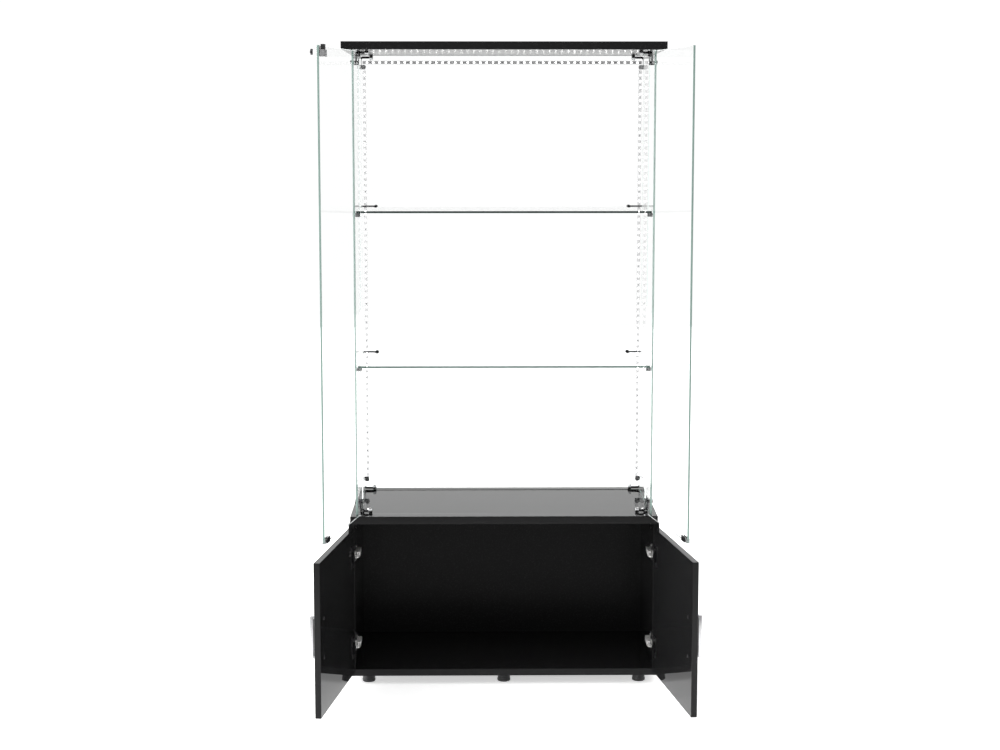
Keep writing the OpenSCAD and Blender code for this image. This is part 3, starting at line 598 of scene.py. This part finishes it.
for node in ("led_strip_top", "led_strip_left", "led_strip_right"):
    low, high = (np.array(corner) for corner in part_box(node))
    run = int((high - low).argmax())
    cross = 2 if run == 0 else 0
    middle = (low + high) / 2
    back_y, front_y = high[1], low[1]
    # Upright runs take the tape painted lighter, with the stronger painted glow.
    tape = upright_tape_painted_light if run == 2 else tape_painted_glow
    shells = [(slab((low[0], back_y - TAPE_THICK, low[2]), high, 0.0001, 0.0003, axis=1), tape, tape)]
    count = int((high[run] - low[run]) / LIGHT_PITCH)
    steps = (np.arange(count) - (count - 1) / 2) * LIGHT_PITCH
    for index, step in enumerate(steps):
        centre = middle.copy()
        centre[run] += step
        corners = np.array([(-1, -1), (1, -1), (1, 1), (-1, 1)])
        rise = np.zeros((4, 4, 3))
        for k, (wide, y) in enumerate(((1.0, back_y - TAPE_THICK), (0.96, front_y + 0.00005), (0.74, front_y),
                                       (0.68, front_y + 0.0002))):
            rise[k][:, run] = centre[run] + corners[:, 0] * CHIP_HALF * wide
            rise[k][:, cross] = centre[cross] + corners[:, 1] * CHIP_HALF * wide
            rise[k][:, 1] = y
        shells.append((rise, chip_case, chip_glow))
        spot = centre.copy()
        spot[run] += LIGHT_PITCH / 2
        if spot[run] > high[run] - 0.003:
            continue
        for way, size, height, material in ((0.0, 0.0009, 0.0010, resistor_black),) if index % 3 == 0 else (
                (-0.0022, 0.0008, 0.00055, solder), (0.0022, 0.0008, 0.00055, solder)):
            a, b = spot.copy(), spot.copy()
            a[cross] += way - size
            b[cross] += way + size
            a[run] -= size * 1.5
            b[run] += size * 1.5
            a[1], b[1] = back_y - height, back_y - 0.0003
            shells.append((slab(a, b, 0.0001, 0.0002, axis=1)[:, ::5], material, material))
    made(node + "_tape", shells, "cabinet", [node])


# ---- Strike plates and corner caps on the glass doors ----
# Black-enamelled steel clipped over the lower edge, which the magnet draws in, and a clear soft cap that
# guards the free corner.
black_enamel = finish("Black enamel", (0.012, 0.012, 0.013), 0.22, scale=350, bump=6e-6, smudge=0.05)
clear_soft = finish("Clear soft moulding", (0.90, 0.94, 0.93), 0.16, tone=0.03, scale=250, bump=1e-5,
                    Transmission_Weight=0.85, IOR=1.45)
for side in ("left", "right"):
    eased("strike_clip_" + side, black_enamel, 0.0005, shortest=0.003)
    eased("corner_guard_" + side, clear_soft, 0.0004, shortest=0.003)


# ---- Lock ----
# Lock on the left glass door: a lacquered case outside and a plated one inside, the key's cylinder through
# the glass in a dark barrel, and a black bolt that rises into the top panel.
satin_plate = finish("Satin plate", (0.30, 0.30, 0.305), 0.40, metal=1.0, scale=300, grain=(1, 1, 6), bump=4e-6)
pearl_case = finish("Pearl lacquer", (0.90, 0.90, 0.90), 0.35, tone=0.02, scale=300)
lock_hinge = "glass_door_left_swing"
lock_front = solids("glass_door_left", lock_hinge)[0][0][1]
CASE_DEPTH = 0.0101


def closed_y(points):
    """Depths of points on the left glass door once it is closed."""
    return swung(points, lock_hinge, joints[lock_hinge]["range_deg"][1])[:, 1]


lock_case = eased("lock_body", satin_plate, 0.0006, shortest=0.004)
refaced(lock_case, satin_plate, pearl_case, lambda facing, centres: closed_y(centres) < lock_front)
# The case's outermost faces are chrome painted dark, a painted dark reflection.
refaced(lock_case, pearl_case, chrome_painted_dark, lambda facing, centres: closed_y(centres) < lock_front - CASE_DEPTH)
eased("lock_cylinder", chrome, 0.0003, shortest=0.004)
eased("lock_bolt", black_enamel, 0.0005, shortest=0.004)


# ---- Handles ----
# Solid steel bars, nearly square, with eased edges on two turned posts. They are brushed lengthwise and screwed on
# from inside the door.
brushed = finish("Brushed steel", (0.56, 0.56, 0.57), 0.26, metal=1.0, spread=0.4, tone=0.14, scale=500,
                 grain=(1, 1, 0.03), bump=1e-5)
BAR_THICK = 0.009
POST_IN = 0.004
for side in ("left", "right"):
    hinge = f"cupboard_door_{side}_swing"
    low, high = solids("handle_" + side, hinge)[0]
    bar = slab(low, (high[0], low[1] + BAR_THICK, high[2]), 0.0012, 0.0022, axis=1, steps=4)
    shells = [(bar, brushed, brushed)]
    for z in (low[2] + POST_IN, high[2] - POST_IN):
        base = ((low[0] + high[0]) / 2, high[1], z)
        long = high[1] - low[1] - BAR_THICK / 2
        shells.append((turned([(0.0030, 0), (0.0048, 0.0001), (0.0050, 0.0006), (0.0049, 0.0013), (0.0039, 0.0019),
                               (0.0038, 0.0026), (0.0038, long)], base, (0, -1, 0), 40), brushed, brushed))
    made(f"handle_{side}_bar", shells, "cupboard_door_" + side, ["handle_" + side], hinge=hinge)


# ---- Concealed hinges ----
# A black-plated cup let into the door, a zinc link, and a pressed nickel arm on a black plate screwed to the
# side panel.
nickel = finish("Nickel plate", (0.88, 0.87, 0.85), 0.35, metal=0.55, spread=0.4, tone=0.08, scale=260, bump=4e-6)
PLATE_THICK = 0.0021
for side in ("left", "right"):
    arm = eased("hinge_arms_" + side, nickel, 0.0006, shortest=0.006)
    panel_x = max(abs(corner.x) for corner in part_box("hinge_arms_" + side))
    refaced(arm, nickel, black_enamel, lambda facing, centres: abs(centres[:, 0]) > panel_x - PLATE_THICK)
    coat("hinge_cups_" + side, black_zinc)
    coat("hinge_links_" + side, zinc)


# ---- Hidden fixings ----
# Beech dowels, zinc cams and cam bolts in the boards, and nickel-plated magnets under the cupboard's top.
coat("dowels", finish("Beech", (0.45, 0.30, 0.17), 0.6, scale=300, grain=(1, 1, 0.1), tone=0.2, bump=2e-5))
coat("cam_locks", zinc)
coat("cam_bolts", zinc)
coat("catch_magnets", nickel)
